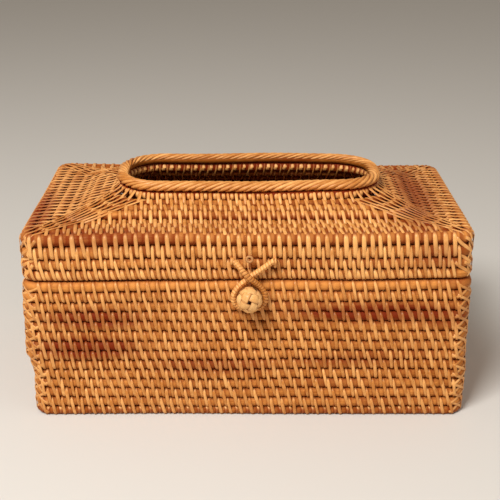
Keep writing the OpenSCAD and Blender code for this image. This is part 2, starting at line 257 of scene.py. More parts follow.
# A cane along a rail: squash is its share of the radius outward and upward, and the rail's face the angle of
# the side that is seen, from straight out (0) to straight up (90)
def layCane(rail, tone, squash=(1, 1.09), step="step"):
    length, face = rail["length"], rail.get("face", 0)
    count = max(8, round(length / cane[step]))
    bpy.ops.mesh.primitive_cylinder_add(vertices=cane["sides"], radius=1, depth=1, end_fill_type="NOTHING",
                                        location=(0.5, 0, 0), rotation=(0, pi / 2, 0))
    bpy.ops.object.transform_apply(location=True, rotation=True, scale=True)
    piece = bpy.context.active_object
    finishWith(piece, "ARRAY", count=count, use_merge_vertices=True, merge_threshold=0.001)
    points = readPoints(piece)
    share = points[:, 0] / count
    if not rail["closed"]:          # rounded ends: the last rings shrink, and a face closes each
        pick(piece)
        editMode(True)
        bpy.ops.mesh.select_mode(type="EDGE")
        bpy.ops.mesh.select_all(action="DESELECT")
        bpy.ops.mesh.select_non_manifold()
        bpy.ops.mesh.edge_face_add()
        editMode(False)
        toEnd = (1 - np.minimum(share, 1 - share) * length / (0.8 * rail["radius"])).clip(0, 1)
        points[:, 1:] *= np.sqrt(np.clip(1 - toEnd ** 2, 0.09, 1))[:, None]
    s = share * length
    local = np.random.default_rng(rail["seed"] + 100)
    size = np.ones(len(s))
    for k, part in cane["swellWaves"]:
        size += handMade["swell"] * part * np.sin(k * 2 * pi * share + local.uniform(0, 6.3))
    pinch = pinchAt(rail, s)
    radius = rail["radius"] * size - cane["pinch"] * pinch
    broad, tall = squash
    if face > 60 and rail["closed"]:
        away = fromCorner(rail, s) / (rail["turn"] + 1 * mm)
        broad = broad + cane["cornerSpread"] * (1 - away ** 2).clip(0, 1)
    centre, out, rise = frameAt(rail, s)
    across, upward = points[:, 1] * radius * broad, points[:, 2] * radius * tall
    placed = centre - out * across[:, None] + rise * upward[:, None]
    placed[:, 2] = np.maximum(placed[:, 2], cane["feet"] * 0.9)
    writePoints(piece, placed)
    patches = np.zeros(len(s))
    for _ in range(cane["patches"]):
        place, reach = local.uniform(0, length), local.uniform(*cane["patchReach"]) * mm
        strength = local.uniform(*cane["patchStrength"])
        patches = np.maximum(patches, strength * np.exp(-((s - place) / reach) ** 4))
    # Painted shade: the depth attribute darkens the cane in the grooves towards its neighbours, away from the
    # side that is seen, and beside the splints that cross it
    seen = np.abs(points[:, 2] * sin(radians(face)) - points[:, 1] * cos(radians(face)))
    groove = ((cane["grooveFrom"] - seen) / 0.5).clip(0, 1)
    around = points[:, 1:] * cane["grainWidth"]
    writeLooks(piece, tone=tone + 0.12 * np.sin(s / (19 * mm) + rail["seed"]),
               age=np.maximum(patches, stainAndShadeAt(placed)),
               depth=np.maximum(groove, cane["besideSplint"] * pinch),
               grain=np.stack([s / mm, around[:, 0] + 40 * rail["seed"], around[:, 1]], 1))
    if rail["closed"]:
        pick(piece)
        editMode(True)
        bpy.ops.mesh.select_all(action="SELECT")
        bpy.ops.mesh.remove_doubles(threshold=0.01 * mm)
        editMode(False)
    return piece


# Splints: one strip is modelled once, and each copy is laid along its own line
strip = {
    "flat": [(-0.5, 0), (-0.3, 1), (0.3, 1), (0.5, 0)],
    "crowned": [(-0.5, 0), (-0.36, 0.78), (0, 1), (0.36, 0.78), (0.5, 0)],
    "round": [(-0.5, 0), (-0.44, 0.5), (-0.25, 0.9), (0, 1), (0.25, 0.9), (0.44, 0.5), (0.5, 0)],
    "edgeShade": 0.8,             # how dark a strip's edges are painted: painted shade along its edges
    "stainAndShadeShare": 0.6,               # how much of the canes' stains, and of the patch of painted shade, shows on the strips
}


def makeStrip(segments, profile):
    outline = strip[profile]
    bpy.ops.mesh.primitive_circle_add(vertices=len(outline), fill_type="NGON")  # the cross-section
    piece = bpy.context.active_object
    writePoints(piece, [(0, across, height) for across, height in outline])
    editMode(True)
    bpy.ops.mesh.select_all(action="SELECT")
    for _ in range(segments):
        bpy.ops.mesh.extrude_region_move(TRANSFORM_OT_translate={"value": (1, 0, 0)})
    bpy.ops.mesh.select_all(action="SELECT")
    bpy.ops.mesh.normals_make_consistent(inside=False)
    editMode(False)
    return piece


# centres and outs: copies x stations x 3; widths, thicks and depths: copies x stations
def layStrips(centres, outs, widths, thicks, tones, depths, profile="crowned"):
    count, stations = centres.shape[:2]
    piece = makeStrip(stations - 1, profile)
    single = readPoints(piece)
    if count > 1:
        finishWith(piece, "ARRAY", count=count, use_relative_offset=False, use_constant_offset=True,
                   constant_offset_displace=(stations + 1, 0, 0))
    station = np.round(single[:, 0]).astype(int)
    tangents = unit(np.gradient(centres, axis=1))
    outs = unit(outs)
    sides = unit(np.cross(tangents, outs))
    widths, thicks, depths = [np.broadcast_to(v, (count, stations)) for v in (widths, thicks, depths)]
    placed = (centres[:, station] - sides[:, station] * (single[:, 1] * widths[:, station])[..., None]
              + outs[:, station] * (single[:, 2] * thicks[:, station])[..., None])
    placed[..., 2] = np.maximum(placed[..., 2], 0.02 * mm)
    writePoints(piece, placed.reshape(-1, 3))
    steps = np.linalg.norm(np.diff(centres, axis=1), axis=-1)
    run = np.concatenate([np.zeros((count, 1)), np.cumsum(steps, 1)], 1)
    spread = rng.uniform(0, 400, (count, 1))
    # Painted shade along the strip's edges
    edges = strip["edgeShade"] * (2 * np.abs(single[:, 1])) ** 5
    across = single[:, 1] * widths[:, station] / mm
    writeLooks(piece, tone=np.repeat(tones, len(single)), age=strip["stainAndShadeShare"] * stainAndShadeAt(placed),
               depth=np.maximum(depths[:, station], edges),
               grain=np.stack([run[:, station] / mm, across + spread, spread + 0 * across], -1))
    return piece


# The stations of a splint that goes round two canes: which cane (0 lower or outer, 1 upper or inner), angle
loopStations = ([(0.5, 180)] + [(1, a) for a in (165, 110, 72, 36, 0)] + [(0.5, 0)]
                + [(0, a) for a in (0, -36, -72, -110, -165)] + [(0.5, 180)])
loopTaper = [0.6, 0.6, 0.62, 0.8, 1.02, 1.1, 1.06, 1.1, 1.02, 0.8, 0.62, 0.6, 0.6]
loop = {"clear": 0.04 * mm, "nip": 0.05 * mm, "thinBehind": 0.62, "frontAngle": 80, "unshadedAngle": 40,
        "nipShade": 0.2, "diveAngle": 36, "diveFrom": 0.3}


def loopLines(a, b, sA, sB, thick, proud=0.0, sunk=0.0):
    pA, pB = railAt(a, sA), railAt(b, sB)
    along = unit(railAt(a, sA + 0.5 * mm) - railAt(a, sA - 0.5 * mm)
                 + railAt(b, sB + 0.5 * mm) - railAt(b, sB - 0.5 * mm))
    rise = unit(pB - pA)
    out = unit(np.cross(along, rise))
    centres, outs, depths, thicks = [], [], [], []
    for share, angle in loopStations:
        between = share == 0.5                  # where the splint passes between the two canes
        thicks.append(thick * (1 if abs(angle) < loop["frontAngle"] and not between else loop["thinBehind"]))
        unshaded = abs(angle) < loop["unshadedAngle"]
        angle = radians(angle)
        radial = out * cos(angle) + rise * sin(angle) * (not between)
        radius = a["radius"] * (1 - share) + b["radius"] * share + loop["clear"] - loop["nip"] * between
        if share == 0:                          # dives in beside the outer cane
            radius = radius - sunk * smooth(-angle / radians(loop["diveAngle"]) + loop["diveFrom"])
        centres.append(pA * (1 - share) + pB * share + radial * (radius + proud))
        outs.append(radial)
        # Painted shade: none near the front, a little in the nip between the canes, and more the further the
        # splint turns into the gaps
        depths.append(0.0 if unshaded else loop["nipShade"] if between else abs(sin(angle)))
    return np.stack(centres, 1), np.stack(outs, 1), np.array([depths]), np.array([thicks])


def cornerMiddles(rail):
    corner = rail["turn"] * pi / 2
    straightW, straightD = 2 * (rail["halfW"] - rail["turn"]), 2 * (rail["halfD"] - rail["turn"])
    return np.cumsum([straightW / 2 + corner / 2, corner + straightD, corner + straightW, corner + straightD])


def pitchAt(x, pitches):
    return np.interp(x / mm, *pitches) * mm


def fromCorner(rail, s):
    return np.abs(s[:, None] - cornerMiddles(rail)).min(1)


# Places of the splints along one row, from the middle of the front both ways, then round the rest
def rowPlaces(rail, pitches, phase, bare, otherPitch=5.8 * mm):
    limit = rail["halfW"] - max(bare - 0.1 * mm, rail["turn"])
    right, left = [], []
    first = pitchAt(0, pitches)
    for way, side, x in ((1, right, phase * first), (-1, left, (phase - 1) * first)):
        while way * x < limit:
            side.append(x)
            x += way * pitchAt(x, pitches)
    start, end = right[-1], rail["length"] + left[-1]
    count = round((end - start) / otherPitch)
    rest = np.linspace(start, end, count + 1)[1:-1]
    rest = rest + rng.normal(0, 0.12 * mm, len(rest)) + 0.5 * mm * np.sin(rest / (31 * mm) + phase)
    s = np.concatenate([right, rest, rail["length"] + np.array(left)[::-1]])
    if bare:
        s = s[fromCorner(rail, s) > rail["turn"] * pi / 4 + bare - rail["turn"]]
    return s


# Splints round two canes, at places that have an outward direction; lean is for the left and the right end,
# sunk is how deep the front ones dive, and atBack is the share of their thickness that those behind have
def sewBetween(a, b, places, outs, lean=(0, 0), width=1.85 * mm, thick=0.5 * mm, light=0.0, sunk=0.0,
               atBack=1.0):
    sA, sB = meet(a, places, outs), meet(b, places, outs)
    tilt = np.interp(places[:, 0], [-0.125, 0.125], lean) * (1 + rng.normal(0, 0.16, len(sA)))
    sunk = sunk * (outs[:, 1:2] < -0.5)
    sA, sB = sA + tilt / 2, sB - tilt / 2
    a["pins"].extend(sA)
    b["pins"].extend(sB)
    centres, radials, depths, thicks = loopLines(a, b, sA, sB, thick, sunk=sunk)
    thicks = thicks * np.where(outs[:, 1:2] > 0.5, atBack, 1)
    widths = width * np.array(loopTaper) * (1 + rng.normal(0, 0.07, (len(sA), 1)))
    tones = randomTones(0.55 + light, 0.2, len(sA))
    return layStrips(centres, radials, widths, thicks, tones, depths)


def sewRow(a, b, phase, pitches, bare=0.0, otherPitch=5.8 * mm, drop=None, **look):
    mean = meanRail(a, b)
    s = rowPlaces(mean, pitches, phase, mean["turn"] if bare is None else bare, otherPitch)
    places, outs = frameAt(mean, s)[:2]
    if drop is not None:
        kept = ~drop(places)
        places, outs = places[kept], outs[kept]
    return sewBetween(a, b, places, outs, **look)


# Splints that fan out over the corners of two hoops, at even shares of each corner's length, with broad backs
fanTaper = [2.7, 2.6, 1.9, 0.8, 1.02, 1.1, 1.06, 1.1, 1.02, 0.8, 1.9, 2.6, 2.7]


def sewFans(a, b, count, width=1.3 * mm, thick=0.45 * mm):
    share = np.linspace(-1, 1, count)
    sA, sB = (np.concatenate([m + share * r["turn"] * pi / 4 for m in cornerMiddles(r)]) for r in (a, b))
    a["pins"].extend(sA)
    b["pins"].extend(sB)
    centres, radials, depths, thicks = loopLines(a, b, sA, sB, thick, proud=0.05 * mm, sunk=0.3 * mm)
    tones = randomTones(0.35, 0.2, len(sA))
    widths = np.multiply(width, fanTaper)
    return layStrips(centres, radials, widths, thicks, tones, depths)


# Splints round one cane only, between those of a row; lean is how far each runs along the cane
def wrapBetween(rail, guide, s, lean, width=2.3 * mm, thick=0.3 * mm, taper=0.6):
    s = np.append(s, s[0] + guide["length"])
    gaps = np.diff(s)
    middles = ((s[:-1] + s[1:]) / 2)[gaps < 1.6 * np.median(gaps)]
    here = meet(rail, *frameAt(guide, middles)[:2])
    rail["pins"].extend(here)
    angles = np.radians(np.linspace(180, -180, 15))
    leans = lean * (1 + rng.normal(0, 0.15, (len(here), 1)))
    along = here[:, None] + np.clip(-angles / pi * 2, -1, 1) / 2 * leans
    line, out, rise = frameAt(rail, along)
    radial = out * np.cos(angles)[:, None] + rise * np.sin(angles)[:, None]
    tapers = np.interp(-angles, [-1.6, 0, 1.6], [taper, 1, 1])
    widths = width * tapers * (1 + rng.normal(0, 0.08, (len(here), 1)))
    tones = randomTones(0.7, 0.15, len(here))
    # Painted shade where the wrap turns into the gaps above and below the cane
    return layStrips(line + radial * (rail["radius"] + 0.03 * mm), radial, widths, thick, tones,
                     np.abs(np.sin(angles)) ** 3)


# The line of a crossed splint: its rise from the lower to the upper hoop, bend, dive at the ends and sag
crossed = {"rise": ([0, 0.16, 0.84, 1], [-0.675, -0.5, 0.5, 0.675]), "bendFrom": 0.34, "bendOver": 0.16,
           "dive": 1.6 * mm, "over": 0.25 * mm, "sag": 0.9 * mm}


# Crossed splints that bind the upright corners of two hoops; laid has each splint's way and shift
def sewCorners(a, b, reach, laid, width, thick=0.4 * mm):
    f = np.linspace(0, 1, 15)         # share of a splint's length
    away = np.abs(f - 0.5)            # from its middle
    centres, outs, depths = [], [], []
    for corner, middle in enumerate(cornerMiddles(a)):
        for way, shift in laid:
            way, shift = way * (-1) ** corner, shift * (-1) ** corner  # each corner mirrors the one before
            s = middle + shift + way * (0.5 - f) * 2 * reach * (1 + rng.normal(0, 0.06))
            hang = smooth(away * 2)
            ends = np.sqrt(1 - ((away - crossed["bendFrom"]) / crossed["bendOver"]).clip(0, 1) ** 2)
            rise = np.interp(f, *crossed["rise"])
            pA, pB = railAt(a, s), railAt(b, s)
            middleLine = (pA + pB) / 2 + (pB - pA) * rise[:, None]
            out = railAt(a, s, "out")
            sag = (1 - 2 * np.abs(rise)).clip(0, 1)
            lift = crossed["over"] * (way > 0) * (1 - hang) - crossed["sag"] * sag
            lift -= crossed["dive"] * (1 - ends)
            centres.append(middleLine + out * (a["radius"] + lift)[:, None])
            outs.append(out)
            # Painted shade where the ends dive in between the canes
            depths.append(1 - ends)
    tones = randomTones(0.5, 0.2, len(centres))
    return layStrips(np.array(centres), np.array(outs), width, thick, tones, depths, profile="flat")


def tint(code):
    parts = [int(code[i:i + 2], 16) / 255 for i in (1, 3, 5)]
    return [p / 12.92 if p <= 0.04045 else ((p + 0.055) / 1.055) ** 2.4 for p in parts] + [1]


# Light, dark, stain and gap colours (the gap colour is painted shade), then roughness, fineness of the fibres,
# coat and shine
finish = {
    "tanCane": ("#d78b42", "#965116", "#742400", "#782400", 0.5, 1.3, 0.0, 0.12),
    "glossySplint": ("#efae64", "#bd752e", "#8a3e08", "#862c00", 0.42, 2.2, 0.12, 0.3),
    "paleSplint": ("#edb978", "#cb8c46", "#8a3e08", "#862c00", 0.42, 2.2, 0.15, 0.12),
    # a darker copy of the cane's finish, painted shade for the collar cane under the rim
    "shadowedCane": ("#965116", "#742400", "#742400", "#782400", 0.5, 1.3, 0.0, 0.12),
}
skin = {"fibreStretch": 0.09, "blotchScale": 0.22, "bump": 0.35, "bumpHeight": 0.12 * mm,
        "coatRoughness": 0.25}


# Adds a node: inputs are values or the sockets that feed them
def addNode(tree, kind, inputs=(), output=0, **settings):
    node = tree.nodes.new(kind)
    for key, value in settings.items():
        setattr(node, key, value)
    for key, value in dict(inputs).items():
        if isinstance(value, bpy.types.NodeSocket):
            tree.links.new(value, node.inputs[key])
        else:
            node.inputs[key].default_value = value
    return node.outputs[output] if output is not None else node


# Skin of rattan: fibres along the grain, blotches, brown stains, and painted shade down in the gaps, beside
# the splints and along their edges
def makeSkinGroup():
    group = bpy.data.node_groups.new("rattanSkin", "ShaderNodeTree")
    for way, kind, names in (("INPUT", "NodeSocketColor", ("Light", "Dark", "Stain", "Gap")),
                             ("INPUT", "NodeSocketFloat", ("Fibre Scale", "Roughness")),
                             ("OUTPUT", "NodeSocketColor", ("Color",)),
                             ("OUTPUT", "NodeSocketFloat", ("Roughness", "Height"))):
        for name in names:
            group.interface.new_socket(name, in_out=way, socket_type=kind)
    given = addNode(group, "NodeGroupInput", output=None).outputs

    def mapRange(value, low, high, outLow, outHigh):
        return addNode(group, "ShaderNodeMapRange", enumerate((value, low, high, outLow, outHigh)))

    def mixColor(factor, a, b):
        return addNode(group, "ShaderNodeMix", {0: factor, 6: a, 7: b}, 2, data_type="RGBA")

    def combine(operation, a, b):
        return addNode(group, "ShaderNodeMath", enumerate((a, b)), operation=operation)

    grain = addNode(group, "ShaderNodeAttribute", output="Vector", attribute_name="grain")
    tone, age, depth = [addNode(group, "ShaderNodeAttribute", output="Fac", attribute_name=name)
                        for name in ("tone", "age", "depth")]
    stretch = addNode(group, "ShaderNodeMapping", {"Vector": grain, "Scale": (skin["fibreStretch"], 1, 1)})
    fibres = addNode(group, "ShaderNodeTexNoise", {"Vector": stretch, "Scale": given["Fibre Scale"],
                                                   "Detail": 5, "Roughness": 0.62})
    blotch = addNode(group, "ShaderNodeTexNoise", {"Vector": grain, "Scale": skin["blotchScale"], "Detail": 3})
    tone = combine("ADD", tone, mapRange(blotch, 0.3, 0.7, -0.28, 0.28))
    tone = combine("ADD", tone, mapRange(fibres, 0.3, 0.7, -0.3, 0.3))
    base = mixColor(mapRange(tone, 0, 1, 0, 1), given["Dark"], given["Light"])
    age = combine("MULTIPLY", age, mapRange(fibres, 0.25, 0.6, 0.65, 1.1))
    aged = mixColor(mapRange(age, 0, 1, 0, 1), base, given["Stain"])
    # Painted shade: the depth attribute mixes in the gap colour and roughens the skin there
    shadeAmount = combine("POWER", depth, 1.25)
    shadedColor = mixColor(mapRange(shadeAmount, 0.1, 1, 0, 0.85), aged, given["Gap"])
    rough = combine("ADD", given["Roughness"], mapRange(fibres, 0.3, 0.7, -0.06, 0.14))
    rough = combine("ADD", rough, combine("MULTIPLY", shadeAmount, 0.3))
    addNode(group, "NodeGroupOutput", {"Color": shadedColor, "Roughness": rough, "Height": fibres}, None)
    return group


skinGroup = makeSkinGroup()


def rattanMaterial(name):
    *colors, roughness, fibres, coat, shine = finish[name]
    material = bpy.data.materials.new(name)
    material.use_nodes = True
    tree = material.node_tree
    shader = tree.nodes["Principled BSDF"]
    given = addNode(tree, "ShaderNodeGroup", output=None, node_tree=skinGroup)
    for key, value in zip(given.inputs.keys(), [*map(tint, colors), fibres, roughness]):
        given.inputs[key].default_value = value
    bump = addNode(tree, "ShaderNodeBump", {"Strength": skin["bump"], "Distance": skin["bumpHeight"],
                                            "Height": given.outputs["Height"]})
    for value, key in ((given.outputs["Color"], "Base Color"), (given.outputs["Roughness"], "Roughness"),
                       (bump, "Normal")):
        tree.links.new(value, shader.inputs[key])
    shader.inputs["Coat Weight"].default_value = coat
    shader.inputs["Coat Roughness"].default_value = skin["coatRoughness"]
    shader.inputs["Specular IOR Level"].default_value = shine
    return material


materials = {name: rattanMaterial(name) for name in finish}
materialOf = {"wall_cane": "tanCane", "floor_cane": "tanCane", "splint": "glossySplint",
              "braid": "glossySplint", "wrapped_loop": "glossySplint", "ball_splint": "paleSplint"}


# Joins parts into one piece, with its material (picked by its slot unless one is given) and body, and hides
# the solids that it stands for
def finishPiece(name, parts, body, slot, nodes=(), material=None):
    pick(parts[0])
    for part in parts[1:]:
        part.select_set(True)
    if len(parts) > 1:
        bpy.ops.object.join()
    bpy.ops.object.shade_smooth_by_angle(angle=radians(60))
    piece = bpy.context.active_object
    piece.name = piece.data.name = name
    piece.data.materials.append(materials[material or materialOf[slot]])
    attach(piece, body)
    if nodes:
        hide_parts(*nodes)


print("materials made")

# The courses' lines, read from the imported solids
hoops = {
    "cornerR": 8.5 * mm, "baseCourses": 14, "lidWallCourses": 4, "topCourses": 6, "floorCourses": 10,
    "outerCourses": 3, "collarTurn": 23.6 * mm, "rimTurn": 22.4 * mm, "turnCurve": 1.5,
    "seamSlim": 0.22 * mm, "collarRadius": 2.2 * mm, "collarLift": 0.45 * mm,
    "bows": {4: 0.3 * mm, 5: 0.6 * mm, 6: 1.0 * mm, "collar": 1.3 * mm, "rim": 1.6 * mm},  # of the long sides
}
plainRadius = (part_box("wall_course_02")[1].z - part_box("wall_course_02")[0].z) / 2


def railOf(node, turn=None, bow=0.0, radius=None, footed=False, seed=0):
    low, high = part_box(node)
    r = (high.z - (cane["feet"] if footed else low.z)) / 2  # a footed cane rests on the ground
    inset = plainRadius if footed else r
    halfW, halfD = (high.x - low.x) / 2 - inset, (high.y - low.y) / 2 - inset
    return makeRail(halfW, halfD, turn or hoops["cornerR"] - r, high.z - r, radius or r, bow, seed)


def straightRail(start, end, radius, seed):
    share = np.linspace(0, 1, 60)[:, None]
    line = settle(np.array(start) * (1 - share) + np.array(end) * share)
    return openRail(line, np.tile(up, (60, 1)), radius, seed)


baseRails = [railOf(f"wall_course_{i:02d}", footed=i == 1, seed=i) for i in range(1, hoops["baseCourses"] + 1)]
lidRails = [railOf(f"lid_wall_course_{i:02d}", seed=20 + i) for i in range(1, hoops["lidWallCourses"] + 1)]
for seamRail, way in ((baseRails[-1], -1), (lidRails[0], 1)):
    seamRail["radius"] -= hoops["seamSlim"]
    seamRail["line"][:, 2] += way * hoops["seamSlim"] / 2
edgeTurn = lidRails[-1]["turn"]
topRails = []
for i in range(1, hoops["topCourses"] + 1):
    share = (i / (hoops["topCourses"] + 1)) ** hoops["turnCurve"]
    topRails.append(railOf(f"lid_top_course_{i:02d}", turn=edgeTurn + (hoops["collarTurn"] - edgeTurn) * share,
                           bow=hoops["bows"].get(i, 0.0), seed=30 + i))
floorRails = []
for i in range(1, hoops["floorCourses"] + 1):
    low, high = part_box(f"floor_course_{i:02d}")
    turn = min(hoops["cornerR"] - plainRadius, (high.y - low.y) / 2 - plainRadius - 0.5 * mm)
    floorRails.append(railOf(f"floor_course_{i:02d}", turn=turn, footed=True, seed=40 + i))
low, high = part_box("floor_centre_cane")
level = floorRails[0]["z"]
centreRail = straightRail((low.x, 0, level), (high.x, 0, level), floorRails[0]["radius"], 60)
fillerRails = []
for side, node in ((1, "lid_fillers_right"), (-1, "lid_fillers_left")):
    low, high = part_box(node)
    x, z = (low.x + high.x) / 2, (low.z + high.z) / 2
    radius = (high.z - low.z) / 2
    fillerRails.append(straightRail((x, side * low.y, z), (x, side * high.y, z), radius, 61 + side))
collarRail = railOf("slot_collar", turn=hoops["collarTurn"], bow=hoops["bows"]["collar"],
                    radius=hoops["collarRadius"], seed=50)
collarRail["line"][:, 2] += hoops["collarLift"]
rimRail = railOf("rim_core", turn=hoops["rimTurn"], bow=hoops["bows"]["rim"], seed=51)
print("courses read")


# How far apart the photographed splints stand at places from the middle of the front, in mm
basePitch = ((-125, -97, -75, -50, -20, 0, 25, 50, 70, 90, 125),
             (5.2, 5.5, 6.0, 5.6, 5.6, 6.3, 6.55, 6.75, 6.1, 5.5, 5.2))
lidPitch = ((-125, -97, -75, -25, 0, 20, 40, 60, 80, 100, 125),
            (5.1, 5.5, 5.75, 5.75, 5.55, 5.6, 5.2, 4.8, 4.7, 5.2, 5.2))
collarPitch = ((0,), (5.1,))
# The look of the rows, with the splints' lean at the left and the right end
rows = {
    # the base's splints are a little darker: painted shade, as the base stands lower than the lid, away from
    # the light from above
    "base": {"pitches": basePitch, "bare": 3.3 * mm, "lean": (1.0 * mm, 1.5 * mm), "light": -0.2},
    "floor": {"pitches": basePitch, "lean": (1.0 * mm, 1.5 * mm), "thick": 0.3 * mm},
    "lid": {"pitches": lidPitch, "bare": 3.3 * mm, "lean": (0.55 * mm, 0.6 * mm)},
    "top": {"pitches": lidPitch, "bare": None, "lean": (0.5 * mm, 1.0 * mm), "otherPitch": 5.6 * mm},
    # the collar's splints are a little darker: painted shade under the rim
    "collar": {"pitches": collarPitch, "lean": (0.5 * mm, 1.0 * mm), "otherPitch": 5.1 * mm,
               "sunk": 0.6 * mm, "light": -0.15},
}
rows["seam"] = {**rows["lid"], "lean": (1.3 * mm, 1.1 * mm)}
# the lid's edge row is lighter: painted light, for the light from above that falls on the edge
rows["lidEdge"] = {**rows["lid"], "light": 0.35, "width": 2.25 * mm}
sewing = {
    "hingeSide": {"atBack": 0.4},  # thinner where the lid rolls over the base
    "edgeSunk": {"sunk": 0.9 * mm}, "seamWrapLean": 2.2 * mm, "fillerPitch": 5.6 * mm,
    "fillerLean": (0.4 * mm, 0.4 * mm), "fans": [3, 4, 5, 8, 7, 8], "floorFans": (4, 0.95 * mm, 0.3 * mm),
    # reach, ways and shifts, and width of the crossed splints
    "baseCorners": (5.6 * mm, [(1, 0), (-1, 0)], 1.8 * mm),
    "lidCorners": (4.2 * mm, [(1, -2.6 * mm), (1, 1.6 * mm)], 2.1 * mm),
}

baseRows, baseCorners = [], []
for i, pair in enumerate(zip(baseRails, baseRails[1:])):
    phase = (0.25 + 0.5 * i + 0.05 * rng.normal()) % 1
    atSeam = pair[1] is baseRails[-1]
    baseRows.append(sewRow(*pair, phase, **rows["base"], **sewing["hingeSide"] if atSeam else {}))
    baseCorners.append(sewCorners(*pair, *sewing["baseCorners"]))
finishPiece("base_sewing_low", baseRows[:7], "base", "splint")
finishPiece("base_sewing_high", baseRows[7:], "base", "splint")
finishPiece("base_corner_splints", baseCorners, "base", "splint")

floorRows = []
flats = [baseRails[0]] + floorRails
for i, pair in enumerate(zip(flats, flats[1:])):
    floorRows.append(sewRow(*pair, (0.75 + 0.5 * i) % 1, **rows["floor"]))
    if pair[1] is not flats[-1]:
        floorRows.append(sewFans(*pair, *sewing["floorFans"]))
finishPiece("floor_sewing", floorRows, "base", "splint")


def atEyelet(places):
    return (np.abs(places[:, 0] - 0.5 * mm) < 2.9 * mm) & (places[:, 1] < 0)


def atFiller(places):
    return np.abs(places[:, 0]) > topRails[hoops["outerCourses"]]["halfW"] - 5 * mm


# One upright strip over each corner of the lid's wall
def sewUprights(rails, width=1.6 * mm, thick=0.4 * mm):
    lines, outs = [], []
    for middle in cornerMiddles(rails[0]):
        lines.append([])
        outs.append([])
        for rail in rails[::-1]:
            centre, out = frameAt(rail, middle)[:2]
            for angle in (50, 0, -50):
                radial = out * cos(radians(angle)) + up * sin(radians(angle))
                lines[-1].append(centre + radial * (rail["radius"] + 0.3 * mm))
                outs[-1].append(out)
    return layStrips(np.array(lines), np.array(outs), width, thick, np.full(len(lines), 0.9), 0.05)


lidRows, lidCorners = [], []
for i, pair in enumerate(zip(lidRails, lidRails[1:])):
    look = rows[("seam", "lid", "lidEdge")[i]]
    extra = (sewing["hingeSide"], {"drop": atEyelet}, {})[i]
    lidRows.append(sewRow(*pair, (0.1 + 0.5 * i) % 1, **look, **extra))
    lidCorners.append(sewCorners(*pair, *sewing["lidCorners"]))
lidCorners.append(sewUprights(lidRails))
guide = meanRail(lidRails[0], lidRails[1])
places = rowPlaces(guide, lidPitch, 0.1, rows["lid"]["bare"])
lidRows.append(wrapBetween(lidRails[0], guide, places, lean=sewing["seamWrapLean"]))
finishPiece("lid_wall_sewing", lidRows, "lid", "splint")
finishPiece("lid_corner_splints", lidCorners, "lid", "splint")

topRows = []
ladder = [lidRails[-1]] + topRails + [collarRail]
for i, pair in enumerate(zip(ladder, ladder[1:])):
    phase = (0.1 + 0.5 * (i + 1) + 0.05 * rng.normal()) % 1
    if pair[1] is collarRail:
        topRows.append(sewRow(*pair, phase, **rows["collar"]))
    else:
        extra = sewing["edgeSunk"] if i == 0 else {"drop": atFiller} if i == hoops["outerCourses"] else {}
        topRows.append(sewRow(*pair, phase, **rows["top"], **extra))
        topRows.append(sewFans(*pair, sewing["fans"][i]))
guide = meanRail(topRails[-1], collarRail)
places = rowPlaces(guide, collarPitch, phase, 0, rows["collar"]["otherPitch"])
topRows.append(wrapBetween(collarRail, guide, places, lean=0.5 * mm, width=2.2 * mm, taper=1))
for side, filler in zip((1, -1), fillerRails):
    for i, pair in enumerate(((topRails[2], filler), (filler, topRails[3]))):
        s = np.arange(3 * mm + 2.8 * mm * i, filler["length"] - 2.5 * mm, sewing["fillerPitch"])
        outs = np.tile([side, 0.0, 0.0], (len(s), 1))
        topRows.append(sewBetween(*pair, railAt(filler, s), outs, sewing["fillerLean"]))
finishPiece("lid_top_sewing", topRows, "lid", "splint")
print("rows sewn")


# The canes: how light (least, and at random more), their squash, and the slot and solids they stand for
for rail in baseRails[12:]:
    rail["light"] = 0.35
# The lid's edge cane has a lighter tone: painted light, for the light from above that falls on it
lidRails[-1].update(light=0.55, face=50)
for i, rail in enumerate(topRails):
    rail["face"] = 85 if i < hoops["outerCourses"] else 70
for rail in floorRails + [centreRail]:
    rail["face"] = 90
for name, body, rails, least, more, squash, step, word, others in (
        ("base_wall_canes", "base", baseRails, 0.35, 0.35, (1, 1.09), "step", "wall_course", []),
        ("lid_wall_canes", "lid", lidRails, 0.45, 0.25, (1, 1.09), "step", "lid_wall_course", []),
        ("lid_top_canes", "lid", topRails, 0.2, 0.25, (1.07, 1.03), "step", "lid_top_course", []),
        ("floor_canes", "base", floorRails + [centreRail], 0.4, 0.25, (1.15, 1), "floorStep", "floor_course",
         ["floor_centre_cane"])):
    parts = [layCane(rail, least + more * rng.random() + rail.get("light", 0), squash, step)
             for rail in rails]
    nodes = [f"{word}_{i:02d}" for i in range(1, len(rails) - len(others) + 1)] + others
    finishPiece(name, parts, body, "floor_cane" if others else "wall_cane", nodes)
for word, filler in zip(("right", "left"), fillerRails):
    finishPiece(f"lid_filler_cane_{word}", [layCane(filler, 0.4)], "lid", "floor_cane",
                [f"lid_fillers_{word}"])
# The collar cane has the darker finish and a low tone: painted shade, for where it lies under the rim
finishPiece("collar_cane", [layCane(collarRail, 0.1, (1, 1.45))], "lid", "wall_cane",
            ["slot_collar"], "shadowedCane")
print("canes laid")


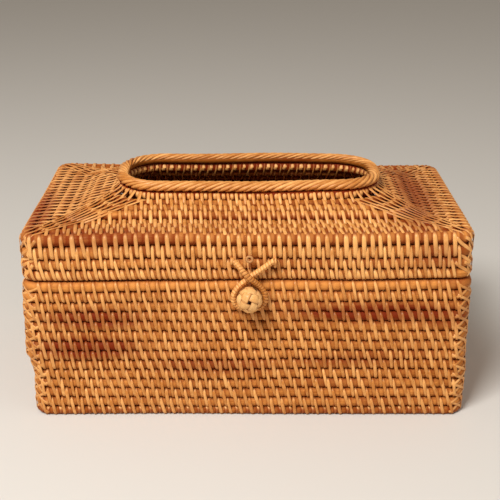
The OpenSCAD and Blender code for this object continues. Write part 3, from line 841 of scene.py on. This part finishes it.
# The braided rim: overlapping strands laid slantwise over a flattened core
rim = {
    "pitch": 5.15 * mm, "run": 30 * mm, "angles": (-75, 205), "width": 2.35 * mm, "thick": 1.5 * mm,
    "coreOut": 2.6 * mm, "coreUp": 1.8 * mm, "coreDown": 2.9 * mm, "lift": 0.5 * mm,
    # places along a strand as shares of its run, and what counts there
    "reachAt": ([0, 0.07, 0.25, 0.65, 1], [0.72, 1.02, 1.1, 1.0, 0.5]),
    "widthAt": ([0, 0.05, 0.2, 0.6, 1], [0.45, 0.85, 1.1, 0.95, 0.4]),
    "thickAt": ([0, 0.05, 0.25, 0.7, 1], [0.6, 1, 1, 0.8, 0.4]),
    # painted shade at a strand's ends, where it goes under the strands beside it
    "shadeAt": ([0, 0.06, 0.2, 0.75, 1], [0.9, 0.5, 0.05, 0.1, 0.9]),
}
rimRail["line"][:, 2] += rim["lift"]
coreTall = (rim["coreUp"] + rim["coreDown"]) / 2  # the core reaches down to the collar
coreRail = dict(rimRail, line=rimRail["line"] - up * (coreTall - rim["coreUp"]))
coreSquash = (rim["coreOut"] / rimRail["radius"], coreTall / rimRail["radius"])
# The core has the darkest tone: painted shade, for where it shows under the strands
finishPiece("rim_core_cane", [layCane(coreRail, 0.0, coreSquash)], "lid", "wall_cane", ["rim_core"])
count = round(rimRail["length"] / rim["pitch"])
share = np.linspace(0, 1, 13)
start = np.arange(count) * rimRail["length"] / count + rng.normal(0, 0.3 * mm, count)
line, out, rise = frameAt(rimRail, start[:, None] + share * rim["run"])
angle = np.radians(np.interp(share, [0, 1], rim["angles"]))[:, None]
reach = np.interp(share, *rim["reachAt"])[:, None]
centres = line + out * np.cos(angle) * rim["coreOut"] * reach + rise * np.sin(angle) * rim["coreUp"] * reach
widths = rim["width"] * np.interp(share, *rim["widthAt"]) * (1 + rng.normal(0, 0.08, (count, 1)))
thicks = rim["thick"] * np.interp(share, *rim["thickAt"])
tones = randomTones(0.4, 0.22, count)
strands = layStrips(centres, out * np.cos(angle) + rise * np.sin(angle), widths, thicks, tones,
                    np.interp(share, *rim["shadeAt"]), profile="round")
finishPiece("rim_strands", [strands], "lid", "braid", ["rim_braid"])
print("rim braided")


# The loop that hooks over the ball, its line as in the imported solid
joints = frame["record"]["behaviour"]["joints"]
_, pivotY, pivotZ = next(joint["pos_m"] for joint in joints if joint["name"] == "toggle_swing")
midX = 0.5 * mm
ballMiddle = (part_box("toggle_ball")[0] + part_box("toggle_ball")[1]) / 2
closure = {
    "leftEnd": 7.8 * mm, "rightEnd": 13.2 * mm, "pins": {-1: 1.6 * mm, 1: 2.1 * mm}, "crossing": 4.3 * mm,
    "roundZ": pivotZ - hypot(ballMiddle.y - pivotY, ballMiddle.z - pivotZ) - 0.2 * mm,
    "loopR": 9.3 * mm, "squat": 0.25, "tuck": 1.2 * mm, "bow": 0.8 * mm, "fromAngle": 40,
    "ends": (45, 5 * mm), "foot": (40, 8 * mm), "pinRise": 0.6 * mm,
    "coreRadius": 1.2 * mm, "coreSquash": (1.15, 1.15), "wrapPitch": 1.75 * mm, "wrapWidth": 1.8 * mm,
    "wrapThick": 0.32 * mm, "wrapRadius": 1.42 * mm,
    "wrapTones": ([0, 0.14, 0.2, 0.5, 0.62, 1], [0.5, 0.4, 0.05, 0.1, 0.75, 0.85]),
}


# The slanting strand from one end to the far side of the round part
def loopStrand(endX, side, lift):
    w = radians(90 - side * (90 - closure["fromAngle"]))
    low = np.array([midX, closure["roundZ"]]) + closure["loopR"] * np.array([cos(w), sin(w)])
    high = np.array([endX, pivotZ])
    (endAngle, endReach), (footAngle, footReach) = closure["ends"], closure["foot"]
    a, r = radians(endAngle), radians(footAngle)
    handles = [high, high + endReach * np.array([side * cos(a), -sin(a)]),
               low + footReach * np.array([-side * sin(r), cos(r)]), low]
    line = []
    for t in np.linspace(0, 1, 15)[:-1]:
        x, z = sum(k * (1 - t) ** (3 - i) * t ** i * handles[i] for i, k in enumerate((1, 3, 3, 1)))
        line.append((x, pivotY - closure["bow"] * t - lift * sin(pi * t) ** 2, z))
    return line


def pinPoints(endX, side):
    reach = closure["pins"][side]
    return [(endX + side * d * reach, pivotY, pivotZ + d * closure["pinRise"])
            for d in (1, 0.66, 0.33)]


roundPart = []
for w in np.radians(np.linspace(closure["fromAngle"], -180 - closure["fromAngle"], 27)):
    low = max(0, -sin(w))
    roundPart.append((midX + closure["loopR"] * cos(w),
                      pivotY - closure["bow"] + closure["tuck"] * low,
                      closure["roundZ"] + closure["loopR"] * sin(w) * (1 - closure["squat"] * low)))
leftEnd, rightEnd = -closure["leftEnd"], closure["rightEnd"]
loopLine = np.array(pinPoints(leftEnd, -1) + loopStrand(leftEnd, 1, closure["crossing"]) + roundPart
                    + loopStrand(rightEnd, -1, 0)[::-1] + pinPoints(rightEnd, 1)[::-1])


# A smooth line of even short steps through the given points
def evenLine(points, step):
    for _ in range(3):
        between = 0.25 * points[:-2] + 0.5 * points[1:-1] + 0.25 * points[2:]
        points = np.vstack([points[:1], between, points[-1:]])
    along = lengthsAlong(points)
    return pointsAt(np.linspace(0, along[-1], int(along[-1] / step) + 1), along, points)


# A rail along a line whose seen side is the same all the way
def facedRail(line, side, radius, seed):
    return openRail(line, np.tile(np.array(side, float), (len(line), 1)), radius, seed)


# A splint wound round a rail, one strip for each turn
def windRound(rail, pitch, width, thick, radius, tones, stations=10):
    count = round(rail["length"] / pitch)
    turn = np.linspace(0, 1, stations)
    line, out, rise = frameAt(rail, (np.arange(count)[:, None] + turn) * pitch)
    angle = 2 * pi * turn[:, None]
    radial = out * np.cos(angle) + rise * np.sin(angle)
    tone = np.interp((np.arange(count) + 0.5) / count, *tones) + rng.normal(0, 0.1, count)
    widths = width * (1 + rng.normal(0, 0.06, (count, 1)))
    return layStrips(line + radial * radius, radial, widths, thick, tone, 0.15)


loopRail = facedRail(evenLine(loopLine, 0.5 * mm), (0, -1, 0), closure["coreRadius"], 70)
loopParts = [layCane(loopRail, 0.2, closure["coreSquash"]),
             windRound(loopRail, closure["wrapPitch"], closure["wrapWidth"], closure["wrapThick"],
                       closure["wrapRadius"], closure["wrapTones"])]
finishPiece("closure_loop", loopParts, "toggle_loop", "wrapped_loop", ["toggle_loop"])

# The ball: six broad splints, each a ring off the middle, over and under one another
ball = {"radius": 6.5 * mm, "off": 3.15 * mm, "width": 4.9 * mm, "thick": 0.5 * mm, "wave": 0.4 * mm,
        "turn": 28, "tilt": -9, "tones": (0.45, 0.95)}
ringRadius = sqrt(ball["radius"] ** 2 - ball["off"] ** 2)
phi = np.linspace(0, 2 * pi, 41)
bands, bandOuts = [], []
for axis in range(3):
    for sign in (1, -1):
        wave = -sign * ball["wave"] * np.sin(4 * (phi - pi / 4))
        ring = np.stack([ringRadius * np.cos(phi), ringRadius * np.sin(phi), 0 * phi + sign * ball["off"]], 1)
        away = unit(ring)
        bands.append(np.roll(ring + away * wave[:, None], axis, axis=1))
        bandOuts.append(np.roll(away, axis, axis=1))
spin = np.array(Euler((radians(ball["tilt"]), radians(ball["turn"]), 0), "YXZ").to_matrix())
ballCentre = np.array([midX, ballMiddle.y, ballMiddle.z])
ballTones = rng.uniform(*ball["tones"], len(bands))
ballBands = layStrips(np.array(bands) @ spin.T + ballCentre, np.array(bandOuts) @ spin.T,
                      ball["width"], ball["thick"], ballTones, 0.1, profile="round")
finishPiece("toggle_ball_bands", [ballBands], "base", "ball_splint", ["toggle_ball"])

# The splints that hold the loop's ends: each goes round a pin and is tucked in between two courses
anchor = {"out": 1.75 * mm, "radius": 1.65 * mm, "inside": -67.5 * mm, "width": 1.2 * mm, "thick": 0.3 * mm}
for word, x in (("left", leftEnd - anchor["out"]), ("right", rightEnd + anchor["out"])):
    angles = np.radians(np.linspace(60, 300, 13))
    outs = np.stack([np.zeros(13), np.cos(angles), np.sin(angles)], 1)
    tucked = [np.array([(x, anchor["inside"], pivotZ + way * 0.3 * mm)]) for way in (1, -1)]
    turned = (x, pivotY, pivotZ) + outs * anchor["radius"]
    line = np.vstack([tucked[0], turned, tucked[1]])
    outs = np.vstack([[(0, 0, 1)], outs, [(0, 0, -1)]])
    strap = layStrips(line[None], outs[None], anchor["width"], anchor["thick"], [0.5], 0.1)
    finishPiece(f"anchor_splint_{word}", [strap], "lid", "splint", [f"toggle_anchor_{word}"])

# The little standing eye: its ring, and a stem that goes in between two courses, as y and z in mm
eyelet = {"y": -75.8 * mm, "radius": 1.6 * mm, "thick": 0.7 * mm, "stemThick": 0.55 * mm,
          "stem": ((-75.6, 98.6), (-75.7, 97.9), (-75.2, 96.1), (-74.9, 93.6), (-73.0, 92.3), (-70.0, 92.3))}
w = np.linspace(0, 2 * pi, 33)
eyeLine = np.stack([midX + eyelet["radius"] * np.sin(w), np.full_like(w, eyelet["y"]),
                    pivotZ + eyelet["radius"] * (1 - np.cos(w))], 1)
eyeRail = facedRail(eyeLine, (0, -1, 0), eyelet["thick"], 71)
eyeRail["closed"] = True
stemLine = np.array([(midX, y * mm, z * mm) for y, z in eyelet["stem"]])
stemRail = facedRail(evenLine(stemLine, 0.3 * mm), (1, 0, 0), eyelet["stemThick"], 72)
eyeParts = [layCane(eyeRail, 1.2, step="fineStep"),
            layCane(stemRail, 0.9, step="fineStep")]
finishPiece("eyelet_ring", eyeParts, "lid", "splint", ["toggle_eyelet"], "paleSplint")

# The ball's tie through the wall, and the knot inside
tie = {"z": ballMiddle.z + 1.2 * mm, "from": -76.6 * mm, "to": -64.8 * mm, "apart": 0.75 * mm,
       "width": 1.4 * mm, "thick": 0.3 * mm, "knotY": -64.2 * mm, "knotHalf": 3 * mm, "knotRadius": 1.8 * mm}
tieLines = np.array([[(midX + way * tie["apart"], y, tie["z"])
                      for y in np.linspace(tie["from"], tie["to"], 8)] for way in (-1, 1)])
tieStrips = layStrips(tieLines, np.tile(up, (2, 8, 1)), tie["width"], tie["thick"], [0.6, 0.7], 0.1,
                      profile="flat")
finishPiece("tie_splints", [tieStrips], "base", "splint", ["toggle_tie"])
knotLine = np.array([(midX + x, tie["knotY"], tie["z"])
                     for x in np.linspace(-tie["knotHalf"], tie["knotHalf"], 20)])
knotRail = facedRail(knotLine, (0, 1, 0), tie["knotRadius"], 73)
knotParts = [layCane(knotRail, 0.4, step="fineStep"),
             windRound(knotRail, 1.5 * mm, 1.6 * mm, 0.4 * mm, 1.75 * mm, ([0, 1], [0.6, 0.7]))]
finishPiece("tie_knot", knotParts, "base", "splint", ["toggle_knot"])

# The hinge: splints in a figure of eight round the lid's lowest cane and the base's top cane
hinge = {"width": 2.2 * mm, "pitch": 3.4 * mm, "count": 4, "thick": 0.3 * mm, "fit": 0.05 * mm,
         "tones": (0.4, 0.8)}
for word in ("left", "right"):
    low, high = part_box(f"hinge_loops_{word}")
    radius = baseRails[-1]["radius"] + hinge["fit"]
    eights, eightOuts = [], []
    for k in range(hinge["count"]):
        x = (low.x + high.x) / 2 + (k - (hinge["count"] - 1) / 2) * hinge["pitch"]
        line, away = [], []
        for rail, start, end in ((lidRails[0], -40, 220), (baseRails[-1], 140, -220)):
            for w in np.radians(np.linspace(start, end, 13)):
                away.append((0, cos(w), sin(w)))
                line.append((x, baseRails[-1]["halfD"] + radius * cos(w), rail["z"] + radius * sin(w)))
        eights.append(line + line[:1])
        eightOuts.append(away + away[:1])
    piece = layStrips(np.array(eights), np.array(eightOuts, float), hinge["width"], hinge["thick"],
                      rng.uniform(*hinge["tones"], hinge["count"]), 0.1)
    finishPiece(f"hinge_splints_{word}", [piece], "lid", "splint", [f"hinge_loops_{word}"])
print("closure and hinge made")

studio = {
    "lamps": {"keyLamp": ((-0.42, -0.76, 1.12), 0.5, 20.5), "fillLamp": ((0.9, -0.6, 0.6), 0.9, 1.8)},
    "lampTarget": (0, 0, 0.06),  # each lamp has a place, a size and a power
    "worldColor": (1, 0.9, 0.79, 1), "worldStrength": 0.32,
    "floorTint": "#d3cec6", "floorSize": 6, "floorRoughness": 0.9,
    "cameraPlace": (0.0008, -0.6314, 0.3132), "cameraPitch": 20.5, "lens": 77.24, "sensor": 36,
}


def placeInStudio(data, place, rotation):
    thing = bpy.data.objects.new(data.name, data)
    thing.location, thing.rotation_euler = place, rotation
    bpy.context.scene.collection.objects.link(thing)
    return thing


for name, (place, size, power) in studio["lamps"].items():
    data = bpy.data.lights.new(name, "AREA")
    data.energy, data.size = power, size
    towards = Vector(studio["lampTarget"]) - Vector(place)
    placeInStudio(data, place, towards.to_track_quat("-Z", "Y").to_euler())

world = bpy.data.worlds.new("softRoom")
world.use_nodes = True
background = world.node_tree.nodes["Background"]
background.inputs["Color"].default_value = studio["worldColor"]
background.inputs["Strength"].default_value = studio["worldStrength"]
bpy.context.scene.world = world

bpy.ops.mesh.primitive_plane_add(size=studio["floorSize"], location=(0, 0, 0))
studioFloor = bpy.context.active_object
studioFloor.name = "studioFloor"
floorMaterial = bpy.data.materials.new("paleFloor")
floorMaterial.use_nodes = True
floorShader = floorMaterial.node_tree.nodes["Principled BSDF"]
floorShader.inputs["Base Color"].default_value = tint(studio["floorTint"])
floorShader.inputs["Roughness"].default_value = studio["floorRoughness"]
studioFloor.data.materials.append(floorMaterial)
studioFloor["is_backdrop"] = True

cameraData = bpy.data.cameras.new("viewCamera")
cameraData.lens, cameraData.sensor_width = studio["lens"], studio["sensor"]
cameraTurn = (radians(90 - studio["cameraPitch"]), 0, 0)
bpy.context.scene.camera = placeInStudio(cameraData, studio["cameraPlace"], cameraTurn)
bpy.context.scene.view_settings.view_transform = "Standard"

low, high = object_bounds()
print("scene ready")
